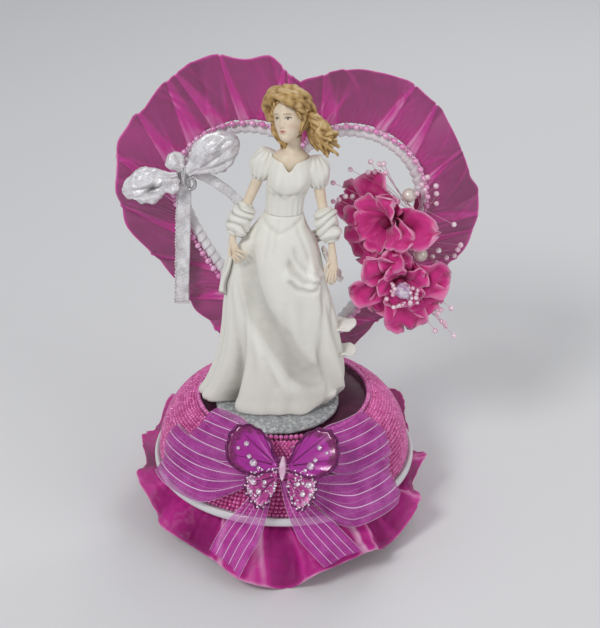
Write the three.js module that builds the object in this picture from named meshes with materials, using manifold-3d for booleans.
// Heart cake topper: a resin bride on a beaded dome, before a ribbon-wrapped heart with an organza ruffle.
// Millimetres, +Z up, the front faces -Y, and the origin is the centre of the flat underside.
import * as THREE from "three";
import { mergeVertices } from "three/addons/utils/BufferGeometryUtils.js";
import Module from "manifold-3d";

const wasm = await Module();
wasm.setup();

// Gap between pieces that touch, and how far a cutter runs past what it cuts.
const seat = 0.3;
const overrun = 2;

// Base: foam foot, plastic plate, foam dome, bead sheet and satin top.
const footHeight = 26.7;
const plateRadius = 64;
const footSetback = 14;
const plateFloor = 4;
const plateLip = 1.2;
const plateLipWidth = 2;
const plateBevel = 1;
const domeSetback = 3;
const domeHeight = 29.7;
const plateauRadius = 42;
const beadSheet = 1.6;
const ringBead = 2.3;
const ringBeadPitch = 3.9;

// Skirt of two organza ruffles gathered on a band round the foot.
const bandThickness = 1;
const bandHeight = 6;
const organza = 0.5;
const skirtGather = 2.2;
const skirtFrontFlare = 13;
const skirtSideFlare = 12;
const skirtBackFlare = 16;
const skirtFrontHem = 4;
const skirtLeftHem = 28;
const skirtRightHem = 19;
const skirtBackHem = 18;
const skirtWave = 3.4;
const underFlare = 5;
const underHem = 4.5;
const underWave = 2;
const underDrop = 5;

// Heart: wire, satin wrap, pearl strand and ruffle, all round one outline.
const heartCentre = 5;
const heartDepth = 28;
const heartHalfWidth = 57;
const heartBelly = 155;
const heartTop = 187.5;
const heartNotch = 174;
const heartLobe = 23;
const legDepth = 18;
const wireRadius = 1.2;
const wrapHalfWidth = 3;
const wrapHalfDepth = 2.6;
const wrapRidge = 0.35;
const strandBead = 3;
const strandPitch = 5;
const ruffleHalfWidth = 86;
const ruffleBelly = 156;
const ruffleTop = 220;
const ruffleNotch = 208;
const ruffleLobe = 36;
const ruffleTip = 12;
const ruffleTipHeight = 64.5;
const ruffleWave = 4.2;
const ruffleSetBack = 2;

// Silver bow on the upper left of the heart.
const satin = 0.6;
const bowInset = 1;
const bowKnotWidth = 8;
const bowKnotHeight = 10;
const bowKnotDepth = 7;
const bowLoopLength = 27;
const bowLoopWidth = 17;
const bowLoopPuff = 2.6;
const smallLoopLength = 13;
const smallLoopWidth = 9;
const hangingTailWidth = 7;
const hangingTailLength = 62;
const rearTailWidth = 5;
const rearTailLength = 36;
const charmHeight = 14;
const charmWire = 0.9;

// Figurine: one bride cast in resin and painted in zones.
const standThickness = 2.4;
const standRadius = 29.5;
const standBack = 2.5;
const figureAcross = -2;
const figureDepth = -6;
const gownHeight = 96;
const gownHemHalfWidth = 37;
const gownHemHalfDepth = 20;
const bodiceHeight = 26.5;
const bustHalfWidth = 10.6;
const bustHalfDepth = 8.2;
const necklineDrop = 4.5;
const necklineHalfWidth = 6.5;
const bodiceWall = 1.7;
const neckRadius = 2.9;
const neckLength = 8.5;
const headHeight = 22;
const headHalfWidth = 7.8;
const headHalfDepth = 8.8;
const hairThickness = 2;
const sleeveRadius = 6.6;
const sleeveLength = 15;
const armRadius = 2.3;
const wrapSleeveRadius = 5.6;
const shawlThickness = 2.6;
const shawlDepth = 9;
const shawlCloth = 1.6;
const flounceWidth = 8;
const flounceCloth = 1.4;

// Flowers, pearls and stamens on the right of the heart.
const petalCloth = 0.5;
const upperBlossomRadius = 19;
const lowerBlossomRadius = 20;
const innerPetalRadius = 12;
const calyxRadius = 2.6;
const calyxHead = 4;
const bigPearl = 6.6;
const pickWire = 0.5;
const upperStem = 16;
const lowerStem = 17;
const crystalSize = 8;
const stamenPearl = 2.6;
const stamenWire = 0.45;
const bindingRadius = 1.3;
const bundleRadius = 1.6;

// Striped organza bow and butterfly on the front of the dome.
const ribbonCloth = 0.5;
const ribbonLoopLength = 60;
const ribbonLoopPuff = 3.4;
const ribbonKnotRadius = 5;
const butterflyHalfSpan = 25.5;
const butterflyHeight = 35;
const wingThickness = 0.9;
const butterflyBody = 13;
const butterflyBodyRadius = 2.2;

const turn = 2 * Math.PI;
const degree = Math.PI / 180;

const at = (x, y, z) => new THREE.Vector3(x, y, z);
const mix = (a, b, share) => a + (b - a) * share;

// Turns the faces of a closed body outward.
function outward(points, faces) {
  let volume = 0;
  const normal = new THREE.Vector3();
  for (let i = 0; i < faces.length; i += 3) {
    const [a, b, c] = [points[faces[i]], points[faces[i + 1]], points[faces[i + 2]]];
    volume += a.dot(normal.crossVectors(b, c));
  }
  const turned = volume < 0 ? [...faces].reverse() : faces;
  const geometry = new THREE.BufferGeometry();
  geometry.setAttribute("position", new THREE.Float32BufferAttribute(points.flatMap((p) => p.toArray()), 3));
  geometry.setIndex(turned);
  return geometry;
}

// A closed skin over rows of points: each row is a ring, and an endless skin joins its last row to its first.
// The back of a sheet has its faces split as its front does, so that the two never cross on a fold.
function skin(rows, endless = false, sheet = false) {
  const sides = rows[0].length;
  const faces = [];
  const quad = (a, b, c, d) => faces.push(a, b, c, a, c, d);
  const spans = endless ? rows.length : rows.length - 1;
  for (let i = 0; i < spans; i += 1) {
    const here = i * sides;
    const next = ((i + 1) % rows.length) * sides;
    for (let j = 0; j < sides; j += 1) {
      const after = (j + 1) % sides;
      const back = sheet && j >= sides / 2 && after > 0;
      if (back) quad(here + after, next + after, next + j, here + j);
      else quad(here + j, here + after, next + after, next + j);
    }
  }
  if (!endless) {
    const last = (rows.length - 1) * sides;
    for (let j = 0; j + 1 < sides / 2; j += 1) {
      quad(sides - 1 - j, sides - 2 - j, j + 1, j);
      quad(last + j, last + j + 1, last + sides - 2 - j, last + sides - 1 - j);
    }
  }
  return outward(rows.flat(), faces);
}

// A thin closed sheet: place gives the middle surface for shares along and across it.
function cloth(along, across, thickness, place, endless = false) {
  const step = 1e-3;
  const ahead = (u) => (endless ? u + step : Math.min(u + step, 1));
  const behind = (u) => (endless ? u - step : Math.max(u - step, 0));
  const rows = [];
  for (let i = 0; i < along + (endless ? 0 : 1); i += 1) {
    const front = [];
    const back = [];
    for (let j = 0; j <= across; j += 1) {
      const u = i / along;
      const v = j / across;
      const du = place(ahead(u), v).sub(place(behind(u), v));
      const dv = place(u, Math.min(v + step, 1)).sub(place(u, Math.max(v - step, 0)));
      const normal = du.cross(dv).normalize().multiplyScalar(thickness / 2);
      front.push(place(u, v).add(normal));
      back.unshift(place(u, v).sub(normal));
    }
    rows.push([...front, ...back]);
  }
  return skin(rows, endless, true);
}

// A tube along points: size gives the half-width and half-depth of its section at each share of its length.
function tube(points, sides, size, endless = false) {
  const curve = points.length > 2 ? points : [points[0], points[0].clone().lerp(points[1], 1 / 2), points[1]];
  const count = curve.length;
  let side = null;
  const rows = curve.map((point, i) => {
    const before = curve[endless ? (i + count - 1) % count : Math.max(i - 1, 0)];
    const after = curve[endless ? (i + 1) % count : Math.min(i + 1, count - 1)];
    const ahead = after.clone().sub(before).normalize();
    const seed = side ?? (Math.abs(ahead.z) < Math.SQRT1_2 ? at(0, 0, 1) : at(0, 1, 0));
    side = seed.clone().addScaledVector(ahead, -seed.dot(ahead)).normalize();
    const other = ahead.clone().cross(side);
    const [wide, deep] = size(i / (count - 1), i);
    return Array.from({ length: sides }, (unused, j) => {
      const angle = (turn * (j + 1 / 2)) / sides;
      const raised = point.clone().addScaledVector(side, deep * Math.cos(angle));
      return raised.addScaledVector(other, wide * Math.sin(angle));
    });
  });
  return skin(rows, endless);
}

const curveThrough = (points, count) => new THREE.CatmullRomCurve3(points).getPoints(count);

// Solids for cutting and joining.
function solidOf(geometry) {
  const bare = geometry.clone();
  bare.deleteAttribute("normal");
  bare.deleteAttribute("uv");
  const merged = mergeVertices(bare);
  const vertProperties = new Float32Array(merged.attributes.position.array);
  const triVerts = new Uint32Array(merged.index.array);
  return new wasm.Manifold(new wasm.Mesh({ numProp: 3, vertProperties, triVerts }));
}

function geometryOf(solid) {
  const { vertProperties, triVerts } = solid.getMesh();
  const geometry = new THREE.BufferGeometry();
  geometry.setAttribute("position", new THREE.Float32BufferAttribute(vertProperties, 3));
  geometry.setIndex([...triVerts]);
  return geometry;
}

function cut(body, ...tools) {
  return geometryOf(tools.map(solidOf).reduce((rest, tool) => rest.subtract(tool), solidOf(body)));
}

function join(...bodies) {
  return geometryOf(bodies.map(solidOf).reduce((whole, body) => whole.add(body)));
}

function lathe(profile, segments) {
  const geometry = new THREE.LatheGeometry(profile.map(([r, z]) => new THREE.Vector2(r, z)), segments);
  return geometry.rotateX(turn / 4);
}

function rod(from, to, radius, sides) {
  return tube([from, to], sides, () => [radius, radius]);
}

const topper = new THREE.Group();

function piece(name, geometry, color, roughness, metalness = 0) {
  const mesh = new THREE.Mesh(geometry, new THREE.MeshStandardMaterial({ color, roughness, metalness }));
  mesh.name = name;
  topper.add(mesh);
  return mesh;
}

const colours = {
  foam: 0xf4f1f2,
  plate: 0xf3e9f0,
  beads: 0xe0409c,
  plum: 0x4a0f33,
  organza: 0xa3186f,
  organzaDeep: 0x86115a,
  wire: 0xc9c9cc,
  wrap: 0xe9e4ec,
  pearls: 0xe85cb0,
  silver: 0xd3d3d8,
  gown: 0xe8e6dc,
  skin: 0xe3d2ab,
  hair: 0xb08a4a,
  clear: 0xb9c0c4,
  petal: 0xc3196b,
  petalInner: 0xd23a86,
  ivory: 0xf1ead9,
  lilac: 0xd9a8e0,
  stamen: 0xf0a6cf,
  ribbon: 0xb84bb6,
  wing: 0x9c1374,
  gem: 0xf3c3e3,
};

// Widths of the base that follow the plate.
const footRadius = plateRadius - footSetback;
const domeRadius = plateRadius - domeSetback;

// Levels that the pieces share, from the table up.
const plateBottom = footHeight + seat;
const domeBottom = plateBottom + plateFloor + seat;
const plateau = domeBottom + domeHeight;
const standTop = plateau + seat + standThickness;
const gownBottom = standTop + seat;
const waist = gownBottom + gownHeight;

// The heart's two legs stand side by side, with their wraps a gap apart.
const legAcross = wrapHalfWidth + seat / 2;

// Faces of the heart's wrap and pearl strand that other pieces rest on.
const strandOutset = wrapHalfWidth + strandBead * 0.1;
const strandLift = wrapHalfDepth + strandBead * 0.28;
const wrapFront = heartDepth - wrapHalfDepth;
const strandFront = heartDepth - strandLift - strandBead / 2;

// Foot, plate, dome, bead sheet and satin top.
const domeSegments = 32;

// Profile of the dome: a quarter ellipse from its rim to the edge of the plateau, set in from the outer skin.
function domePoint(inset, share) {
  const angle = share * (turn / 4);
  const r = plateauRadius + (domeRadius - plateauRadius - inset) * Math.cos(angle);
  return [r, domeBottom + (domeHeight - inset) * Math.sin(angle)];
}

function domeProfile(inset, steps) {
  return Array.from({ length: steps + 1 }, (unused, i) => domePoint(inset, i / steps));
}

// Outer profile of the bead sheet: thick rings of beads, one of them under the knot, drawn in between them.
const beadRingPitch = 0.25;
const beadRelief = 0.9;

function beadProfile() {
  const rings = [0, knotRise - beadRingPitch, knotRise, knotRise + beadRingPitch, 1];
  return rings.flatMap((ring, i) => {
    const drawnIn = i ? [domePoint(beadRelief, (rings[i - 1] + ring) / 2)] : [];
    return [...drawnIn, domePoint(0, ring)];
  });
}

// Holes for the two legs of the heart.
function legHoles() {
  return [-1, 1].map((hand) => {
    const x = heartCentre + hand * legAcross;
    const bottom = plateau - legDepth - seat;
    return rod(at(x, heartDepth, bottom), at(x, heartDepth, plateau + overrun), wireRadius + seat, 8);
  });
}

function buildBase() {
  const foot = new THREE.CylinderGeometry(footRadius, footRadius, footHeight, domeSegments);
  foot.rotateX(turn / 4);
  piece("foam_foot", foot, colours.foam, 0.9).position.z = footHeight / 2;

  const floor = plateBottom + plateFloor;
  const lipTop = floor + plateLip;
  piece("base_plate", lathe([
    [0, plateBottom],
    [plateRadius - plateBevel, plateBottom],
    [plateRadius, plateBottom + plateBevel],
    [plateRadius, lipTop - plateBevel / 2],
    [plateRadius - plateBevel / 2, lipTop],
    [plateRadius - plateLipWidth, lipTop],
    [plateRadius - plateLipWidth, floor],
    [0, floor],
  ], domeSegments), colours.plate, 0.35);

  const coreInset = beadSheet + seat;
  const coreTop = domeBottom + domeHeight - coreInset;
  const core = lathe([[0, domeBottom], ...domeProfile(coreInset, 3), [0, coreTop]], domeSegments);
  piece("dome_core", cut(core, ...legHoles()), colours.foam, 0.9);

  const outer = beadProfile();
  const inner = domeProfile(beadSheet, 3).reverse();
  piece("bead_sheet", lathe([...outer, ...inner, outer[0]], domeSegments), colours.beads, 0.3, 0.2);

  const linerRadius = plateauRadius - seat;
  const liner = lathe([
    [0, plateau - beadSheet],
    [linerRadius, plateau - beadSheet],
    [linerRadius, plateau],
    [0, plateau],
  ], domeSegments);
  piece("top_liner", cut(liner, ...legHoles()), colours.plum, 0.5);
}

// A string of beads: two rings a bead, full at its belly and drawn in where it meets the next.
function beadString(points, bead, endless = false) {
  const neck = 0.5;
  return tube(points, 4, (share, i) => {
    const radius = (bead / 2) * (i % 2 ? 1 : neck);
    return [radius, radius];
  }, endless);
}

function buildPlateauRing() {
  const radius = plateauRadius - seat;
  const beads = Math.round((turn * radius) / ringBeadPitch);
  const height = plateau + seat + ringBead / 2;
  const points = Array.from({ length: 2 * beads }, (unused, i) => {
    const angle = (turn * i) / (2 * beads);
    return at(radius * Math.cos(angle), radius * Math.sin(angle), height);
  });
  piece("plateau_bead_ring", beadString(points, ringBead, true), colours.pearls, 0.25, 0.2);
}

// Skirt ruffles: a share round the skirt starts at the front and runs to the right, back and left.
const roundShares = { front: 0, right: 1 / 4, back: 1 / 2, left: 3 / 4 };

function blendRound(share, { front, right, back, left }) {
  const facing = (middle) => Math.max(0, Math.cos(turn * (share - middle))) ** 2;
  return front * facing(roundShares.front) + right * facing(roundShares.right)
    + back * facing(roundShares.back) + left * facing(roundShares.left);
}

function skirtPlace({ startRadius, startHeight, hemRadius, hemHeight, wave, folds, lilt }) {
  return (u, v) => {
    const r = mix(startRadius, blendRound(u, hemRadius), v);
    const z = mix(startHeight, blendRound(u, hemHeight), v ** 1.6);
    const swell = wave * v ** 1.5;
    const fold = Math.sin(turn * folds * u) + lilt * Math.sin(turn * u * Math.round(folds * 0.38));
    const sway = ((wave * v * 0.4) / startRadius) * Math.cos(turn * folds * u);
    const angle = turn * (u - roundShares.right) + sway;
    const reach = r + swell * 0.45 * fold;
    return at(reach * Math.cos(angle), reach * Math.sin(angle), z + swell * 0.6 * fold);
  };
}

function buildSkirt() {
  const bandInner = footRadius + seat;
  const bandOuter = bandInner + bandThickness;
  const bandTop = footHeight - seat;
  const bandBottom = bandTop - bandHeight;
  piece("skirt_band", lathe([
    [bandInner, bandBottom],
    [bandOuter, bandBottom],
    [bandOuter, bandTop],
    [bandInner, bandTop],
    [bandInner, bandBottom],
  ], domeSegments), colours.organzaDeep, 0.7);

  const startRadius = bandOuter + seat;
  piece("skirt_ruffle", cloth(76, 3, organza, skirtPlace({
    startRadius,
    startHeight: bandTop - skirtGather,
    hemRadius: {
      front: plateRadius + skirtFrontFlare,
      right: plateRadius + skirtSideFlare,
      back: plateRadius + skirtBackFlare,
      left: plateRadius + skirtSideFlare,
    },
    hemHeight: {
      front: skirtFrontHem + skirtWave / 2, right: skirtRightHem, back: skirtBackHem, left: skirtLeftHem,
    },
    wave: skirtWave,
    folds: 19,
    lilt: 0.5,
  }), true), colours.organza, 0.6);

  piece("skirt_under_ruffle", cloth(44, 2, organza, skirtPlace({
    startRadius,
    startHeight: bandTop - skirtGather - underDrop * 0.75,
    hemRadius: {
      front: plateRadius + underFlare,
      right: plateRadius + underFlare,
      back: plateRadius + underFlare,
      left: plateRadius + underFlare,
    },
    hemHeight: { front: underHem, right: underHem, back: underHem, left: underHem },
    wave: underWave,
    folds: 11,
    lilt: 0.3,
  }), true), colours.organzaDeep, 0.6);
}

// Heart outline: half of it from the foot of the leg to the notch, then its mirror image.
function heartHalf({ halfWidth, foot, footHeightAt, belly, top, notch, lobe, sideShares }, count) {
  const [lowX, lowZ, highX, highZ] = sideShares;
  const shoulderShare = 0.56;
  const p = (x, z) => new THREE.Vector2(x, z);
  const path = new THREE.CurvePath();
  path.add(new THREE.CubicBezierCurve(
    p(foot, footHeightAt),
    p(mix(foot, halfWidth, lowX), mix(footHeightAt, belly, lowZ)),
    p(mix(foot, halfWidth, highX), mix(footHeightAt, belly, highZ)),
    p(halfWidth, belly),
  ));
  path.add(new THREE.CubicBezierCurve(
    p(halfWidth, belly),
    p(halfWidth, mix(belly, top, shoulderShare)),
    p(mix(lobe, halfWidth, shoulderShare), top),
    p(lobe, top),
  ));
  path.add(new THREE.CubicBezierCurve(
    p(lobe, top),
    p(lobe * 0.4, top),
    p(lobe * 0.15, mix(notch, top, 0.4)),
    p(0, notch),
  ));
  return path.getSpacedPoints(count);
}

function wholeHeart(half) {
  const right = half.map(({ x, y }) => at(heartCentre + x, heartDepth, y));
  const left = half.slice(0, -1).reverse().map(({ x, y }) => at(heartCentre - x, heartDepth, y));
  return [...right, ...left];
}

// The heart's own line, or one set outward from it.
function heartLine(outset, count) {
  return heartHalf({
    halfWidth: heartHalfWidth + outset,
    foot: legAcross + outset,
    footHeightAt: plateau + seat + wrapHalfWidth * 0.6,
    belly: heartBelly,
    top: heartTop + outset,
    notch: heartNotch + outset * 1.5,
    lobe: heartLobe,
    sideShares: [0.36, 0.34, 0.945, 0.73],
  }, count);
}

function heartWire(outset, count) {
  const line = wholeHeart(heartLine(0, count));
  const first = line[0];
  const last = line[line.length - 1];
  const legBottom = plateau - legDepth;
  const points = [at(first.x, first.y, legBottom), ...line, at(last.x, last.y, legBottom)];
  const radius = wireRadius + outset;
  return tube(points, 4, () => [radius, radius]);
}

function buildHeart() {
  const wireSteps = 15;
  piece("heart_wire", heartWire(0, wireSteps), colours.wire, 0.35, 0.9);

  const wrapLine = wholeHeart(heartLine(0, 32));
  const wrapSides = 6;
  const toFlats = Math.cos(turn / 2 / wrapSides);
  const wrap = tube(wrapLine, wrapSides, (share, i) => {
    const ridge = i % 2 ? wrapRidge : 0;
    return [wrapHalfWidth - ridge, (wrapHalfDepth - ridge) / toFlats];
  });
  piece("heart_wrap", cut(wrap, heartWire(seat, wireSteps)), colours.wrap, 0.4);

  // The pearls lie along the front outer edge of the wrap.
  const measure = heartLine(strandOutset, 60);
  const length = measure.slice(1).reduce((sum, p, i) => sum + p.distanceTo(measure[i]), 0);
  const beads = Math.round(length / strandPitch);
  const strand = wholeHeart(heartLine(strandOutset, 2 * beads)).map((p) => p.setY(heartDepth - strandLift));
  piece("heart_pearl_strand", beadString(strand.slice(1, -1), strandBead), colours.pearls, 0.25, 0.2);

  // The ruffle is gathered on the wrap and fans out to its wired hem.
  const steps = 48;
  const inner = wholeHeart(heartLine(wrapHalfWidth + seat, steps));
  const outer = wholeHeart(heartHalf({
    halfWidth: ruffleHalfWidth,
    foot: ruffleTip,
    footHeightAt: ruffleTipHeight,
    belly: ruffleBelly,
    top: ruffleTop,
    notch: ruffleNotch,
    lobe: ruffleLobe,
    sideShares: [0.44, 0.14, 0.975, 0.67],
  }, steps));
  const folds = 23;
  const place = (u, v) => {
    const share = u * (inner.length - 1);
    const index = Math.min(Math.floor(share), inner.length - 2);
    const from = inner[index].clone().lerp(inner[index + 1], share - index);
    const to = outer[index].clone().lerp(outer[index + 1], share - index);
    const wave = Math.sin(turn * folds * u) + 0.4 * Math.sin(turn * u * 9.5);
    const swell = ruffleWave * v ** 1.2;
    const point = from.lerp(to, v * (1 + 0.035 * wave * v));
    return point.setY(heartDepth + ruffleSetBack + swell * wave * 0.75);
  };
  const endShares = 0.004;
  piece("heart_ruffle", cloth(92, 2, organza, (u, v) => place(mix(endShares, 1 - endShares, u), v)),
    colours.organza, 0.6);
}

// A ribbon loop: out from the knot along one layer and back along the other, gathered at the knot.
function ribbonLoop({ place, length, width, puff, thickness, start, pinchShare, steps }) {
  return cloth(steps, 3, thickness, (u, v) => {
    const round = turn * mix(0.03, 0.97, u);
    const out = (1 - Math.cos(round)) / 2;
    const open = Math.min(1, out / 0.5);
    const spread = width * mix(pinchShare, 1, open * open * (3 - 2 * open));
    const apart = 0.8 * thickness * THREE.MathUtils.clamp(4 * Math.sin(round), -1, 1);
    const lift = -puff * Math.sin(round) * Math.sqrt(Math.max(out, 0)) * 0.95 - apart;
    const pleat = puff * 0.12 * Math.cos(turn * 2 * v) * (1 - out);
    return place(start + (length - start) * out, (v - 1 / 2) * spread, lift + pleat);
  });
}

function ribbonTail({ place, length, width, thickness, steps, ripple }) {
  return cloth(steps, 2, thickness, (u, v) => {
    return place(u * length, (v - 1 / 2) * width, ripple * Math.sin(turn * 1.2 * u));
  });
}

// The bow's knot stands a little inside the middle of the wrap, at a share of its length from leg to notch.
const bowShare = 0.64;

function buildSilverBow() {
  const steps = 100;
  const stop = heartLine(-bowInset, steps)[Math.round(bowShare * steps)];
  const bowAcross = heartCentre - stop.x;
  const bowHeight = stop.y;
  const knotDepth = wrapFront - seat - bowKnotDepth / 2;
  const loopDepth = strandFront - seat - bowLoopPuff - satin / 2;
  const knot = new THREE.SphereGeometry(1 / 2, 12, 8);
  knot.scale(bowKnotWidth, bowKnotDepth, bowKnotHeight);
  piece("bow_knot", knot, colours.silver, 0.35, 0.5).position.set(bowAcross, knotDepth, bowHeight);

  const spread = (angle, droop, depth) => {
    const along = at(Math.cos(angle), 0, Math.sin(angle));
    const across = at(-Math.sin(angle), 0, Math.cos(angle));
    return (s, w, h) => {
      const sag = -droop * (s / bowLoopLength) ** 2;
      return at(bowAcross, depth, bowHeight)
        .addScaledVector(along, s).addScaledVector(across, w).add(at(0, -h, sag));
    };
  };
  const start = bowKnotWidth / 2 + seat;
  const ahead = bowLoopPuff * 0.7;
  const big = { length: bowLoopLength, width: bowLoopWidth, puff: bowLoopPuff, thickness: satin };
  const small = { length: smallLoopLength, width: smallLoopWidth, puff: bowLoopPuff / 2, thickness: satin };
  const loop = (name, size, angle, droop, depth) => piece(name, ribbonLoop({
    ...size,
    place: spread(angle * degree, droop, depth),
    pinchShare: 0.35,
    steps: 11,
  }), colours.silver, 0.35, 0.5);
  loop("bow_loop_left", { ...big, start }, 186, 3, loopDepth);
  loop("bow_loop_right", { ...big, start }, 38, 2, loopDepth);
  const smallStart = bowKnotHeight / 2 + seat;
  loop("bow_small_loop_upper", { ...small, start: smallStart }, 108, 0, loopDepth - ahead);
  loop("bow_small_loop_lower", { ...small, start: smallStart }, 244, 0, loopDepth - ahead);

  const hanging = at(bowAcross, loopDepth + ahead, bowHeight - bowKnotHeight / 2 - seat - satin);
  piece("bow_hanging_tail", ribbonTail({
    place: (s, w, h) => hanging.clone().add(at(w - s * 0.055, -h, -s)),
    length: hangingTailLength,
    width: hangingTailWidth,
    thickness: satin,
    steps: 12,
    ripple: satin,
  }), colours.silver, 0.45, 0.4);

  const rear = at(bowAcross + bowKnotWidth / 2, loopDepth + ahead, bowHeight - bowKnotHeight * 0.3);
  piece("bow_rear_tail", ribbonTail({
    place: (s, w, h) => {
      const share = s / rearTailLength;
      const angle = mix(-4, -62, share) * degree;
      const middle = mix(-4, -33, share) * degree;
      return rear.clone().add(at(
        s * Math.cos(middle) - w * Math.sin(angle),
        -h,
        s * Math.sin(middle) + w * Math.cos(angle),
      ));
    },
    length: rearTailLength,
    width: rearTailWidth,
    thickness: satin,
    steps: 12,
    ripple: satin / 2,
  }), colours.silver, 0.6, 0.2);

  // Charm: a scroll bent from one flat wire, hanging in front of the knot.
  const scrollShares = [
    [-0.08, 0.28], [0.05, 0.33], [0.09, 0.2], [0.02, 0], [0.04, -0.3], [0.2, -0.5], [0.38, -0.32],
    [0.3, -0.08], [0.16, -0.12],
  ];
  const charmDepth = knotDepth - bowKnotDepth / 2 - seat - charmWire;
  const scroll = curveThrough(scrollShares.map(([x, z]) => {
    return at(bowAcross + x * charmHeight, charmDepth, bowHeight + z * charmHeight);
  }), 18);
  piece("bow_charm", tube(scroll, 4, () => [charmWire, charmWire]), colours.silver, 0.2, 0.9);
}

// Gown: stations from the hem to the waist as shares of its height, half-width and half-depth.
const gownShares = [
  [0, -0.08, 0.985, -0.02, 0.985],
  [0.02, -0.08, 1, 0, 1],
  [0.07, -0.07, 0.95, 0.01, 0.93],
  [0.16, -0.05, 0.91, 0.03, 0.86],
  [0.27, -0.015, 0.87, 0.05, 0.8],
  [0.4, -0.03, 0.81, 0.07, 0.74],
  [0.52, -0.035, 0.745, 0.08, 0.68],
  [0.66, -0.02, 0.6, 0.09, 0.61],
  [0.78, 0.02, 0.49, 0.1, 0.54],
  [0.86, 0.045, 0.4, 0.1, 0.46],
  [0.93, 0.06, 0.285, 0.1, 0.37],
  [1, 0.088, 0.23, 0.11, 0.31],
];

// Folds: direction at the waist and at the hem in degrees from the front, depth share, half-width, rise.
const foldShares = [
  [-96, -104, 0.1, 9, 1],
  [-70, -76, 0.09, 8, 1],
  [-42, -43, 0.42, 10, 5],
  [-34, -40, 0.09, 9, 0.7],
  [-20, 44, 0.13, 13, 0.8],
  [20, 74, 0.1, 9, 0.9],
  [64, 96, 0.1, 9, 0.9],
  [104, 118, 0.1, 9, 1],
  [134, 142, 0.12, 10, 1],
  [166, 168, 0.12, 10, 1],
  [196, 194, 0.12, 10, 1],
  [224, 224, 0.1, 10, 1],
];

function gownPoint(azimuth, share, outset = 0) {
  let k = 0;
  while (k < gownShares.length - 2 && gownShares[k + 1][0] < share) {
    k += 1;
  }
  const [low, high] = [gownShares[k], gownShares[k + 1]];
  const t = (share - low[0]) / (high[0] - low[0]);
  const [, cx, hw, cy, hd] = low.map((value, i) => mix(value, high[i], t));
  let depth = 0;
  for (const [top, hem, fold, half, rise] of foldShares) {
    const middle = mix(top, hem, (1 - share) ** 2.2);
    const away = ((azimuth - middle + 540) % 360) - 180;
    depth += fold * (1 - share) ** rise * Math.exp(-((away / half) ** 2));
  }
  const angle = azimuth * degree;
  const size = 1 - depth;
  const wide = hw * gownHemHalfWidth * size + outset;
  const deep = hd * gownHemHalfDepth * size + outset;
  return at(
    figureAcross + cx * gownHemHalfWidth + wide * Math.sin(angle),
    figureDepth + cy * gownHemHalfDepth - deep * Math.cos(angle),
    gownBottom + share * gownHeight,
  );
}

function gownBody(outset) {
  const sides = 36;
  const shares = gownShares.map(([share]) => share);
  return skin(shares.map((share) => Array.from({ length: sides }, (unused, j) => {
    return gownPoint((j * 360) / sides, share, outset);
  })));
}

// A body of elliptic rings, each row a centre, a half-width and a half-depth.
function ringBody(rings, sides, outset = 0, shape = () => 0) {
  return skin(rings.map(([x, y, z, wide, deep], i) => Array.from({ length: sides }, (unused, j) => {
    const angle = (turn * (j + 1 / 2)) / sides;
    const extra = outset + shape(angle, i);
    return at(x + (wide + extra) * Math.sin(angle), y - (deep + extra) * Math.cos(angle), z);
  })));
}

// Bodice stations: share of its height, sideways shift, and shares of the bust's half-width and half-depth.
const bodiceShares = [
  [0, 0, 0.79, 0.74],
  [0.28, 0.06, 0.83, 0.8],
  [0.5, 0.2, 0.95, 0.98],
  [0.64, 0.28, 1, 1],
  [0.84, 0.3, 0.97, 0.9],
  [1, 0.3, 0.86, 0.78],
];
const waistAcrossShare = 0.088;
const torsoDepthShare = 0.1;
const torsoAcross = figureAcross + waistAcrossShare * gownHemHalfWidth;
const torsoDepth = figureDepth + torsoDepthShare * gownHemHalfDepth;
const shoulder = waist + seat + bodiceHeight;

function bodiceBody(outset) {
  const rings = bodiceShares.map(([rise, shift, wide, deep]) => [
    torsoAcross + shift * bustHalfWidth,
    torsoDepth,
    waist + seat + rise * bodiceHeight,
    wide * bustHalfWidth,
    deep * bustHalfDepth,
  ]);
  const bust = (angle, i) => {
    const full = [0, 0, 0.12, 0.16, 0.06, 0][i] * bustHalfDepth;
    const away = Math.min(Math.abs(angle - 0.5), Math.abs(angle - turn + 0.5));
    return full * Math.exp(-((away / 0.4) ** 2));
  };
  return ringBody(rings, 16, outset, bust);
}

// Chest and neck: one painted skin zone, inset from the bodice and rising to the chin.
const chestAcross = torsoAcross + 0.3 * bustHalfWidth;
const neckAcross = chestAcross + 0.13 * bustHalfWidth;
const neckTop = shoulder + neckLength;

function chestBody(outset) {
  const inner = (bustHalfWidth - bodiceWall) * 0.76;
  const innerDepth = bustHalfDepth * 0.84 - bodiceWall;
  const base = shoulder - necklineDrop - bodiceWall;
  const slope = shoulder + neckLength * 0.22;
  return ringBody([
    [chestAcross, torsoDepth, base - outset, inner * 0.9, innerDepth],
    [chestAcross, torsoDepth, shoulder - bodiceWall, inner * 0.96, innerDepth],
    [chestAcross, torsoDepth, shoulder, inner, innerDepth * 0.95],
    [chestAcross + 0.5 * seat, torsoDepth, slope, inner * 0.72, innerDepth * 0.75],
    [neckAcross, torsoDepth, slope + neckLength * 0.125, neckRadius * 1.1, neckRadius],
    [neckAcross, torsoDepth, neckTop, neckRadius, neckRadius],
  ], 14, outset);
}

// Head: stations as shares of its height, half-width and half-depth, leaning and turned a little.
const headShares = [
  [0, 0.2, 0.22, -0.34],
  [0.07, 0.48, 0.5, -0.24],
  [0.18, 0.68, 0.72, -0.12],
  [0.34, 0.86, 0.88, -0.03],
  [0.52, 0.98, 1, 0],
  [0.7, 1, 1, 0],
  [0.85, 0.84, 0.84, 0.02],
  [0.95, 0.52, 0.54, 0.04],
  [1, 0.16, 0.18, 0.04],
];
const headLean = -10 * degree;
const headTurn = -18 * degree;
const chin = neckTop - neckLength * 0.28;

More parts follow.
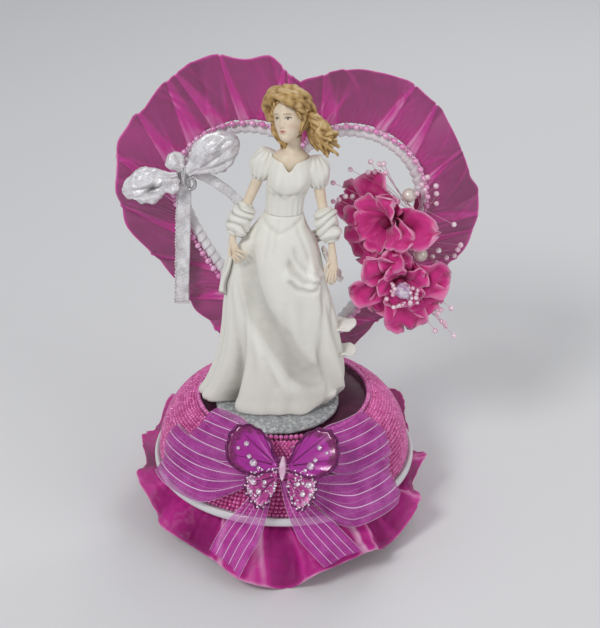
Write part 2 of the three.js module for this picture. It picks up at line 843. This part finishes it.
function placeHead(geometry) {
  geometry.rotateZ(headTurn);
  geometry.rotateY(headLean);
  return geometry.translate(chestAcross + 0.15 * bustHalfWidth, torsoDepth - 0.1 * headHalfDepth, chin);
}

function headBody(outset) {
  const rings = headShares.map(([rise, wide, deep, forward]) => [
    0,
    forward * headHalfDepth,
    rise * headHeight + (rise - 1 / 2) * 2 * outset,
    wide * headHalfWidth,
    deep * headHalfDepth,
  ]);
  return placeHead(ringBody(rings, 12, outset));
}

// Hair: a cap round the head with the face left open, and curls down to the shoulders.
const curlShares = [
  [[0.75, 0.2, 0.62], [1.25, 0.1, 0.3], [1.7, 0, 0.12], [2.25, -0.1, 0.02], [2.1, -0.15, 0.2], 0.3],
  [[0.75, 0.4, 0.5], [1.15, 0.45, 0.15], [1.6, 0.35, -0.08], [2.1, 0.25, -0.06], [2.3, 0.2, 0.12], 0.34],
  [[0.55, 0.7, 0.45], [0.85, 0.8, 0.05], [1.15, 0.7, -0.2], [1.55, 0.5, -0.24], [1.85, 0.4, -0.1], 0.32],
  [[-0.3, 0.85, 0.45], [-0.4, 0.95, 0.05], [-0.2, 0.9, -0.25], [0.1, 0.8, -0.36], [0.25, 0.75, -0.2], 0.36],
  [[-0.8, 0.3, 0.6], [-1.0, 0.3, 0.3], [-0.85, 0.25, 0], [-0.7, 0.3, -0.22], [-0.9, 0.35, -0.1], 0.26],
];

function hairBody() {
  const cap = new THREE.SphereGeometry(1, 10, 7);
  const grown = hairThickness + seat;
  cap.scale(headHalfWidth + grown, headHalfDepth + grown, headHeight * 0.46 + grown);
  cap.translate(0, headHalfDepth * 0.1, headHeight * 0.62);
  const face = new THREE.SphereGeometry(1, 10, 6);
  face.scale(headHalfWidth * 0.86, headHalfDepth, headHeight * 0.5);
  face.translate(-headHalfWidth * 0.05, -headHalfDepth * 0.95, headHeight * 0.38);
  const curls = curlShares.map((row) => {
    const size = row[row.length - 1] * headHalfWidth;
    const points = row.slice(0, -1).map(([x, y, z]) => {
      return at(x * headHalfWidth, y * headHalfDepth, z * headHeight);
    });
    return tube(curveThrough(points, 4), 4, (share) => {
      const swell = size * (0.75 + 0.35 * Math.sin(turn * 1.5 * share + 1)) * (share > 0.99 ? 0.4 : 1);
      return [swell, swell];
    });
  });
  const hair = cut(join(cap, ...curls), face);
  return placeHead(hair);
}

// Arms: shoulder, elbow, wrist, knuckles and fingertips as shares of the gown's height from the shoulder.
const armShares = {
  right: [
    [-0.128, 0.01, -0.045], [-0.155, 0.01, -0.12], [-0.205, 0, -0.235], [-0.235, -0.03, -0.31],
    [-0.27, -0.07, -0.395], [-0.262, -0.085, -0.455], [-0.243, -0.105, -0.505],
  ],
  left: [
    [0.118, 0.01, -0.075], [0.13, 0.01, -0.15], [0.148, 0, -0.245], [0.172, -0.03, -0.32],
    [0.198, -0.06, -0.415], [0.206, -0.085, -0.51], [0.2, -0.1, -0.59],
  ],
};
const armSizeShares = [0.9, 1.1, 0.98, 0.95, 0.72, 1.05, 0.5];

function armLine(hand) {
  return armShares[hand].map(([x, y, z]) => at(
    chestAcross + x * gownHeight,
    torsoDepth + y * gownHeight,
    shoulder + z * gownHeight,
  ));
}

function armBody(hand, outset) {
  const line = armLine(hand);
  const steps = 10;
  const sizeAt = (share) => {
    const place = share * (armSizeShares.length - 1);
    const k = Math.min(Math.floor(place), armSizeShares.length - 2);
    return mix(armSizeShares[k], armSizeShares[k + 1], place - k) * armRadius;
  };
  return tube(curveThrough(line, steps), 6, (share) => {
    const size = sizeAt(share);
    const palm = share > 0.75 ? 0.62 : 1;
    return [size + outset, size * palm + outset];
  });
}

function sleeveBody(hand) {
  const [top, elbow] = armLine(hand);
  const down = elbow.clone().sub(top).normalize();
  const start = top.clone().addScaledVector(down, -sleeveLength * 0.46);
  const profile = [0.35, 0.8, 1, 1.02, 0.88, 0.55];
  const points = profile.map((unused, i) => {
    return start.clone().addScaledVector(down, (i / (profile.length - 1)) * sleeveLength);
  });
  return tube(points, 8, (share, i) => [profile[i] * sleeveRadius, profile[i] * sleeveRadius * 0.9]);
}

// Shawl wrapped in soft rings round each forearm, from the elbow to above the wrist.
function forearmWrap(hand) {
  const line = new THREE.CatmullRomCurve3(armLine(hand));
  const steps = 8;
  const points = Array.from({ length: steps + 1 }, (unused, i) => line.getPoint(mix(0.4, 0.7, i / steps)));
  return tube(points, 8, (share, i) => {
    const ends = Math.min(1, 0.66 + 3 * Math.min(share, 1 - share));
    const size = wrapSleeveRadius * ends * (i % 2 ? 1 : 0.86);
    return [size, size * 0.92];
  });
}

// A frill of the train that stands out on the left side of the gown.
function frill(rise, reach) {
  return cloth(8, 2, flounceCloth, (u, v) => {
    const azimuth = mix(84, 128, u);
    const wave = flounceCloth * 1.6 * Math.sin(turn * 1.5 * u) * v;
    const away = v * (reach + flounceCloth) * Math.sin((turn / 2) * mix(0.12, 0.88, u)) - flounceCloth;
    return gownPoint(azimuth, rise, away).add(at(0, 0, wave + v * flounceCloth));
  });
}

function buildFigurine() {
  const stand = lathe([
    [0, plateau + seat],
    [standRadius - standThickness / 3, plateau + seat],
    [standRadius, plateau + seat + standThickness / 3],
    [standRadius, standTop - standThickness / 3],
    [standRadius - standThickness / 3, standTop],
    [0, standTop],
  ], 20);
  const disc = piece("figurine_stand", stand, colours.clear, 0.15, 0.3);
  disc.position.set(figureAcross, figureDepth - standBack, 0);

  const frills = [frill(0.38, flounceWidth), frill(0.235, flounceWidth * 0.75)];
  piece("gown_skirt", join(gownBody(0), ...frills), colours.gown, 0.55);

  const arms = { right: armBody("right", 0), left: armBody("left", 0) };
  const armRoom = { right: armBody("right", seat), left: armBody("left", seat) };
  const bodiceRoom = bodiceBody(seat);
  const chestRoom = chestBody(seat);

  const notch = new THREE.Shape([
    new THREE.Vector2(-necklineHalfWidth, overrun),
    new THREE.Vector2(0, -necklineDrop),
    new THREE.Vector2(necklineHalfWidth, overrun),
  ]);
  const wedge = new THREE.ExtrudeGeometry(notch, { depth: bustHalfDepth + overrun, bevelEnabled: false });
  wedge.rotateX(turn / 4);
  wedge.translate(chestAcross, torsoDepth, shoulder);
  piece("gown_bodice", cut(bodiceBody(0), chestRoom, wedge), colours.gown, 0.55);

  piece("head_and_neck", join(chestBody(0), headBody(0)), colours.skin, 0.5);
  piece("hair", cut(hairBody(), headBody(seat), chestRoom, bodiceRoom), colours.hair, 0.5);

  for (const hand of ["right", "left"]) {
    piece(`arm_${hand}`, cut(arms[hand], bodiceRoom, gownBody(seat)), colours.skin, 0.5);
    const sleeve = cut(sleeveBody(hand), bodiceRoom, chestRoom, armRoom[hand]);
    piece(`sleeve_${hand}`, sleeve, colours.gown, 0.55);
    const wrap = cut(forearmWrap(hand), armRoom[hand], gownBody(seat), bodiceRoom);
    piece(`shawl_wrap_${hand}`, wrap, colours.gown, 0.6);
  }

  // Shawl swag behind the hips, from one forearm to the other.
  const backSteps = 14;
  const swagShare = 0.8;
  const swag = Array.from({ length: backSteps + 1 }, (unused, i) => {
    const share = i / backSteps;
    const azimuth = mix(106, 256, share);
    const rise = swagShare + 0.06 * Math.cos(turn * share);
    return gownPoint(azimuth, rise, seat * 6 + shawlThickness / 2);
  });
  const backSwag = tube(swag, 8, (share) => {
    const full = 0.55 + 0.45 * Math.sin((turn / 2) * share);
    return [(shawlThickness / 2), (shawlDepth / 2) * full];
  });
  piece("shawl_back", backSwag, colours.gown, 0.6);

  // Shawl ends that hang below the forearms.
  piece("shawl_tail_right", cloth(8, 3, shawlCloth, (u, v) => {
    const azimuth = mix(-102, -68, v) + 3 * Math.sin(turn * u);
    const ripple = shawlCloth * 0.35 * Math.sin(turn * 1.5 * v + 2 * u);
    return gownPoint(azimuth, mix(0.77, 0.57, u), seat + shawlCloth * 0.9 + ripple);
  }), colours.gown, 0.6);
  piece("shawl_tail_left", cloth(8, 3, shawlCloth, (u, v) => {
    const azimuth = mix(80, 112, v) + 3 * Math.sin(turn * u);
    const away = seat + shawlCloth * 0.9 + u * u * shawlCloth * 4;
    return gownPoint(azimuth, mix(0.8, 0.66, u), away + shawlCloth * 0.3 * Math.sin(turn * v));
  }), colours.gown, 0.6);
}

// Blossoms: each layer of petals is one lobed and rippled cup round the calyx.
function petalLayer({ radius, petals, cup, ripple, spin, stations, rows }) {
  return cloth(petals * stations, rows, petalCloth, (u, v) => {
    const lobe = Math.abs(Math.sin((turn / 2) * petals * u + spin));
    const reach = calyxRadius + seat + (radius - calyxRadius - seat) * v * mix(0.62, 1, lobe ** 0.7);
    const angle = turn * u;
    const height = cup * v * v * 0.8 + ripple * v * Math.sin(turn * petals * u + 3 * v) * 0.5;
    return at(reach * Math.cos(angle), reach * Math.sin(angle), height);
  }, true);
}

// Stands a piece made round +Z at a place, facing a direction.
function face(geometry, place, direction) {
  const spin = new THREE.Quaternion().setFromUnitVectors(at(0, 0, 1), direction.clone().normalize());
  geometry.applyQuaternion(spin);
  return geometry.translate(place.x, place.y, place.z);
}

function blossom(name, root, direction, length, radius) {
  const head = root.clone().addScaledVector(direction, length);
  const calyx = lathe([
    [0, 0],
    [calyxRadius * 0.5, 0],
    [calyxRadius * 0.5, length * 0.35],
    [calyxRadius * 1.4, length * 0.55],
    [calyxRadius * 1.4, length - seat],
    [calyxRadius, length - seat],
    [calyxRadius, length + calyxHead],
    [calyxRadius * 0.7, length + calyxHead * 1.3],
    [0, length + calyxHead * 1.3],
  ], 8);
  piece(`${name}_calyx`, face(calyx, root, direction), colours.petal, 0.6);
  const lift = petalCloth;
  piece(`${name}_outer_petals`, face(petalLayer({
    radius, petals: 5, cup: radius * 0.32, ripple: radius * 0.12, spin: 0.3, stations: 5, rows: 2,
  }), head.clone().addScaledVector(direction, lift), direction), colours.petal, 0.6);
  piece(`${name}_inner_petals`, face(petalLayer({
    radius: innerPetalRadius, petals: 4, cup: innerPetalRadius * 0.8, ripple: innerPetalRadius * 0.1,
    spin: 0.9, stations: 4, rows: 2,
  }), head.clone().addScaledVector(direction, lift + calyxHead * 0.6), direction), colours.petalInner, 0.6);
  return head.addScaledVector(direction, calyxHead * 1.3);
}

// A pearl on a wire, from its root to the middle of the pearl.
function pearlPick(root, pearl, wire, bead, sides) {
  const way = pearl.clone().sub(root);
  const length = way.length();
  way.normalize();
  const radius = bead / 2;
  const rings = [
    [0, wire], [length - radius * 0.95, wire], [length - radius * 0.2, radius],
    [length + radius * 0.85, radius * 0.4],
  ];
  const points = rings.map(([s]) => root.clone().addScaledVector(way, s));
  return tube(points, sides, (share, i) => [rings[i][1], rings[i][1]]);
}

// A spray: pearls on wires that leave a short binding of floral tape, which lies along the bundle.
function spray(root, along, pearls) {
  const reach = bindingRadius * 1.5;
  const end = root.clone().addScaledVector(along, reach);
  const binding = rod(root.clone().addScaledVector(along, -reach), end, bindingRadius, 6);
  const stems = pearls.map((pearl, i) => {
    const spread = mix(-bindingRadius, bindingRadius, i / (pearls.length - 1));
    const foot = root.clone().addScaledVector(along, spread);
    return pearlPick(foot, pearl, stamenWire, stamenPearl, 4);
  });
  return join(binding, ...stems);
}

// Stamens and pearls round each blossom: shares of its radius across, forward and up from its head.
const upperSprayShares = {
  stamens_top: [[-0.95, -0.21, 1.16], [-0.47, -0.15, 1.4], [-0.23, -0.15, 1.34], [-0.11, -0.21, 1.07]],
  stamens_left: [[-1.37, -0.31, 0.77], [-1.22, -0.31, 0.33], [-1.01, -0.36, 0.5]],
  stamens_right_upper: [[0.88, 0.03, 1.17], [1.09, 0.09, 0.96], [1.09, 0.03, 0.59], [0.83, 0.09, 0.8]],
};
const lowerSprayShares = {
  stamens_right_lower: [[1.36, -0.04, 0.93], [1.28, -0.04, 0.59], [0.88, -0.08, 0.84], [0.76, -0.08, 0.49]],
  stamens_lower: [[1.28, -0.04, -0.67], [1.08, -0.04, -1.16], [0.92, -0.04, -1.26], [1.36, -0.04, -1.36]],
};
const upperPearlShares = [0.46, -0.12, 0.65];
const lowerPearlShares = [0.48, -0.04, 0.65];

// Flower wires bound together with tape along the front of the wrap, and where each piece leaves the bundle.
const bundleShares = { bottom: 0.36, top: 0.6 };
const leaveShares = new Map([
  ["stamens_lower", 0.06],
  ["blossom_lower", 0.165],
  ["stamens_right_lower", 0.4],
  ["big_pearl_lower", 0.49],
  ["stamens_left", 0.62],
  ["blossom_upper", 0.72],
  ["stamens_top", 0.81],
  ["stamens_right_upper", 0.89],
  ["big_pearl_upper", 0.97],
]);

function bundleLine() {
  const steps = 60;
  const start = Math.round(bundleShares.bottom * steps);
  const line = heartLine(-wrapHalfWidth / 3, steps).slice(start, Math.round(bundleShares.top * steps) + 1);
  const depth = wrapFront - seat - bundleRadius;
  return new THREE.CatmullRomCurve3(line.map(({ x, y }) => at(heartCentre + x, depth, y)));
}

// A place beside the bundle at a share of its length, on the side that faces a goal.
function besideBundle(bundle, share, goal, radius) {
  const centre = bundle.getPointAt(share);
  const along = bundle.getTangentAt(share);
  const way = goal.clone().sub(centre);
  way.addScaledVector(along, -way.dot(along)).normalize();
  return { along, root: centre.addScaledVector(way, bundleRadius + seat + radius) };
}

// A blossom on the bundle with the sprays and the big pearl round it: returns the middle of its front.
function bundleBlossom(bundle, { name, facing, stem, radius, sprays, pearlName, pearlShares }) {
  const share = leaveShares.get(name);
  const goal = bundle.getPointAt(share).add(facing);
  const lean = Math.abs(facing.dot(bundle.getTangentAt(share)));
  const { root } = besideBundle(bundle, share, goal, (calyxRadius / 2) * lean);
  const heart = blossom(name, root, facing, stem, radius);

  const head = root.clone().addScaledVector(facing, stem);
  const place = ([across, forward, up]) => head.clone().add(at(across, -forward, up).multiplyScalar(radius));
  const pearl = place(pearlShares);
  const pearlRoot = besideBundle(bundle, leaveShares.get(pearlName), pearl, pickWire).root;
  piece(pearlName, pearlPick(pearlRoot, pearl, pickWire, bigPearl, 8), colours.ivory, 0.2, 0.1);

  for (const [sprayName, shares] of Object.entries(sprays)) {
    const pearls = shares.map(place);
    const middle = pearls.reduce((sum, stamen) => sum.add(stamen), at(0, 0, 0)).divideScalar(pearls.length);
    const foot = besideBundle(bundle, leaveShares.get(sprayName), middle, bindingRadius);
    piece(sprayName, spray(foot.root, foot.along, pearls), colours.stamen, 0.3);
  }
  return heart;
}

function buildFlowers() {
  const bundle = bundleLine();
  const tape = tube(bundle.getPoints(9), 8, () => [bundleRadius, bundleRadius]);
  piece("flower_bundle", tape, colours.petal, 0.7);

  bundleBlossom(bundle, {
    name: "blossom_upper",
    facing: at(-0.62, -0.76, 0.18).normalize(),
    stem: upperStem,
    radius: upperBlossomRadius,
    sprays: upperSprayShares,
    pearlName: "big_pearl_upper",
    pearlShares: upperPearlShares,
  });

  const lowerFacing = at(0.24, -0.95, -0.12).normalize();
  const heart = bundleBlossom(bundle, {
    name: "blossom_lower",
    facing: lowerFacing,
    stem: lowerStem,
    radius: lowerBlossomRadius,
    sprays: lowerSprayShares,
    pearlName: "big_pearl_lower",
    pearlShares: lowerPearlShares,
  });

  const crystal = new THREE.IcosahedronGeometry(crystalSize / 2, 1);
  const place = heart.clone().addScaledVector(lowerFacing, seat + crystalSize / 2);
  piece("crystal_cluster", face(crystal, place, lowerFacing), colours.lilac, 0.1);
}

// Shares of the dome's side over which a ribbon rises to clear the plate's lip below and the bead ring above.
const lipShare = 0.25;
const ringShare = 0.3;

// Places a point over the dome: direction in degrees, share of the way up its side, and lift off the beads.
function overDome(azimuth, rise, lift) {
  const wide = domeRadius - plateauRadius;
  const quarter = turn / 4;
  const angle = azimuth * degree;
  const up = THREE.MathUtils.clamp(rise, 0, 1) * quarter;
  const inward = Math.max(rise - 1, 0) * quarter * Math.hypot(wide, domeHeight) / Math.SQRT2;
  const normal = new THREE.Vector2(Math.cos(up) / wide, Math.sin(up) / domeHeight).normalize();
  const overLip = THREE.MathUtils.smoothstep(lipShare - rise, 0, lipShare) * (plateRadius - domeRadius);
  const overRing = THREE.MathUtils.smoothstep(rise, 1 - ringShare, 1) * ringBead;
  const away = lift + overLip + overRing;
  const below = Math.min(rise, 0) * quarter * Math.hypot(wide, domeHeight) / Math.SQRT2;
  const r = plateauRadius - inward + wide * Math.cos(up) + normal.x * away;
  const z = domeBottom + below + domeHeight * Math.sin(up) + normal.y * away;
  return at(r * Math.cos(angle), r * Math.sin(angle), z);
}

// The ribbon is cut to a share of the way up the dome's side.
const sideLength = (turn / 4) * Math.hypot(domeRadius - plateauRadius, domeHeight) / Math.SQRT2;
const ribbonShare = 0.536;
const ribbonWidth = sideLength * ribbonShare;

const knotAzimuth = -86;
const knotRise = 0.55;

// Routes of the tails: shares of the plate's radius across and forward, and of the plateau's height up.
const tailShares = {
  left: [[-0.05, 1.045, 0.73], [-0.125, 1.11, 0.574], [-0.22, 1.164, 0.41],
    [-0.3, 1.22, 0.24]],
  right: [[0.2, 1.03, 0.73], [0.31, 1.0625, 0.574], [0.453, 1.096, 0.41],
    [0.578, 1.09, 0.245]],
};

function buildFrontBow() {
  const knotSquash = 0.8;
  const knotLift = seat + ribbonKnotRadius * knotSquash;
  const knotPlace = overDome(knotAzimuth, knotRise, knotLift);
  const outwardWay = overDome(knotAzimuth, knotRise, 2 * knotLift).sub(knotPlace).normalize();
  const knot = new THREE.SphereGeometry(ribbonKnotRadius, 12, 8);
  knot.scale(1, 1.15, knotSquash);
  piece("ribbon_knot", face(knot, knotPlace, outwardWay), colours.ribbon, 0.45);

  const girth = (domeRadius + plateauRadius) / 2;
  const base = seat + ribbonCloth / 2;
  const loops = {
    left_upper: { hand: -1, from: 0.76, to: 0.8, length: ribbonLoopLength },
    left_lower: { hand: -1, from: 0.46, to: 0.2, length: ribbonLoopLength * 1.02 },
    right_upper: { hand: 1, from: 0.76, to: 0.78, length: ribbonLoopLength * 1.06 },
    right_lower: { hand: 1, from: 0.46, to: 0.14, length: ribbonLoopLength * 0.98 },
  };
  for (const [name, { hand, from, to, length }] of Object.entries(loops)) {
    piece(`ribbon_loop_${name}`, ribbonLoop({
      place: (s, w, h) => {
        const azimuth = knotAzimuth + (hand * s) / (girth * degree);
        const centre = mix(from, to, Math.min(1, s / (length * 0.45)));
        return overDome(azimuth, centre + w / sideLength, base + ribbonLoopPuff + h);
      },
      length,
      width: ribbonWidth,
      puff: ribbonLoopPuff,
      thickness: ribbonCloth,
      start: ribbonKnotRadius + seat,
      pinchShare: 0.3,
      steps: 15,
    }), colours.ribbon, 0.45);
  }

  // Tails fall from under the knot over the plate and the skirt.
  const upWay = overDome(knotAzimuth, knotRise + seat / sideLength, knotLift).sub(knotPlace).normalize();
  const sideWay = upWay.clone().cross(outwardWay);
  const tailStarts = { left: -0.6, right: 0.6 };
  for (const [name, route] of Object.entries(tailShares)) {
    const start = knotPlace.clone()
      .addScaledVector(sideWay, tailStarts[name] * ribbonKnotRadius)
      .addScaledVector(upWay, -1.07 * ribbonKnotRadius)
      .addScaledVector(outwardWay, 0.08 * ribbonKnotRadius);
    const rest = route.map(([across, forward, up]) => {
      return at(across * plateRadius, -forward * plateRadius, up * plateau);
    });
    const line = new THREE.CatmullRomCurve3([start, ...rest]);
    piece(`ribbon_tail_${name}`, cloth(9, 3, ribbonCloth, (u, v) => {
      const middle = line.getPoint(u);
      const down = line.getTangent(u);
      const away = at(middle.x, middle.y, 0).normalize();
      const across = down.cross(away).normalize();
      const width = ribbonWidth * mix(0.2, 0.85, Math.min(1, u * 1.6));
      const wave = ribbonCloth * 1.2 * Math.sin(turn * v + 2 * u);
      return middle.addScaledVector(across, (v - 1 / 2) * width).addScaledVector(away, wave);
    }), colours.ribbon, 0.45);
  }
  return { knotPlace, outwardWay };
}

// Butterfly: wings as shares of its half-span and height, measured from the root of the wings.
const upperWingShares = [
  [0.1, 0.03], [0.3, 0.24], [0.62, 0.42], [0.86, 0.44], [0.98, 0.3], [1, 0.1], [0.84, -0.04], [0.5, -0.1],
  [0.1, -0.05],
];
const lowerWingShares = [
  [0.1, -0.03], [0.48, -0.08], [0.62, -0.18], [0.63, -0.32], [0.52, -0.46], [0.36, -0.54], [0.22, -0.46],
  [0.1, -0.26],
];
const butterflyLean = 57 * degree;

function buildButterfly({ knotPlace, outwardWay }) {
  const upWay = at(0, Math.cos(butterflyLean), Math.sin(butterflyLean));
  const acrossWay = at(1, 0, 0);
  const frontWay = acrossWay.clone().cross(upWay).normalize();
  const lift = ribbonKnotRadius * 0.8 + ribbonLoopPuff * 0.6;
  const centre = knotPlace.clone().addScaledVector(outwardWay, lift).addScaledVector(upWay, wingThickness);
  const basis = new THREE.Matrix4().makeBasis(acrossWay, upWay, frontWay).setPosition(centre);

  const wing = (shares, hand) => {
    const outline = new THREE.Shape();
    const points = shares.map(([x, y]) => {
      return new THREE.Vector2(hand * x * butterflyHalfSpan, y * butterflyHeight);
    });
    outline.moveTo(points[0].x, points[0].y);
    outline.splineThru(points.slice(1));
    const geometry = new THREE.ExtrudeGeometry(outline, {
      depth: wingThickness, bevelEnabled: false, curveSegments: 2,
    });
    geometry.translate(0, 0, -wingThickness / 2);
    const raise = hand * -14 * degree;
    const hinge = hand * butterflyBodyRadius;
    geometry.translate(-hinge, 0, 0).rotateY(raise).translate(hinge, 0, 0);
    return geometry.applyMatrix4(basis);
  };
  for (const [side, hand] of [["left", -1], ["right", 1]]) {
    const pair = join(wing(upperWingShares, hand), wing(lowerWingShares, hand));
    piece(`butterfly_wings_${side}`, pair, colours.wing, 0.35, 0.1);
  }
  const body = new THREE.SphereGeometry(butterflyBodyRadius, 10, 8);
  body.scale(0.85, butterflyBody / (2 * butterflyBodyRadius), 0.8);
  body.translate(0, -butterflyBodyRadius / 2, 0);
  piece("butterfly_body", body.applyMatrix4(basis), colours.gem, 0.15, 0.1);
}

buildBase();
buildPlateauRing();
buildSkirt();
buildHeart();
buildSilverBow();
buildFigurine();
buildFlowers();
buildButterfly(buildFrontBow());

export default topper;
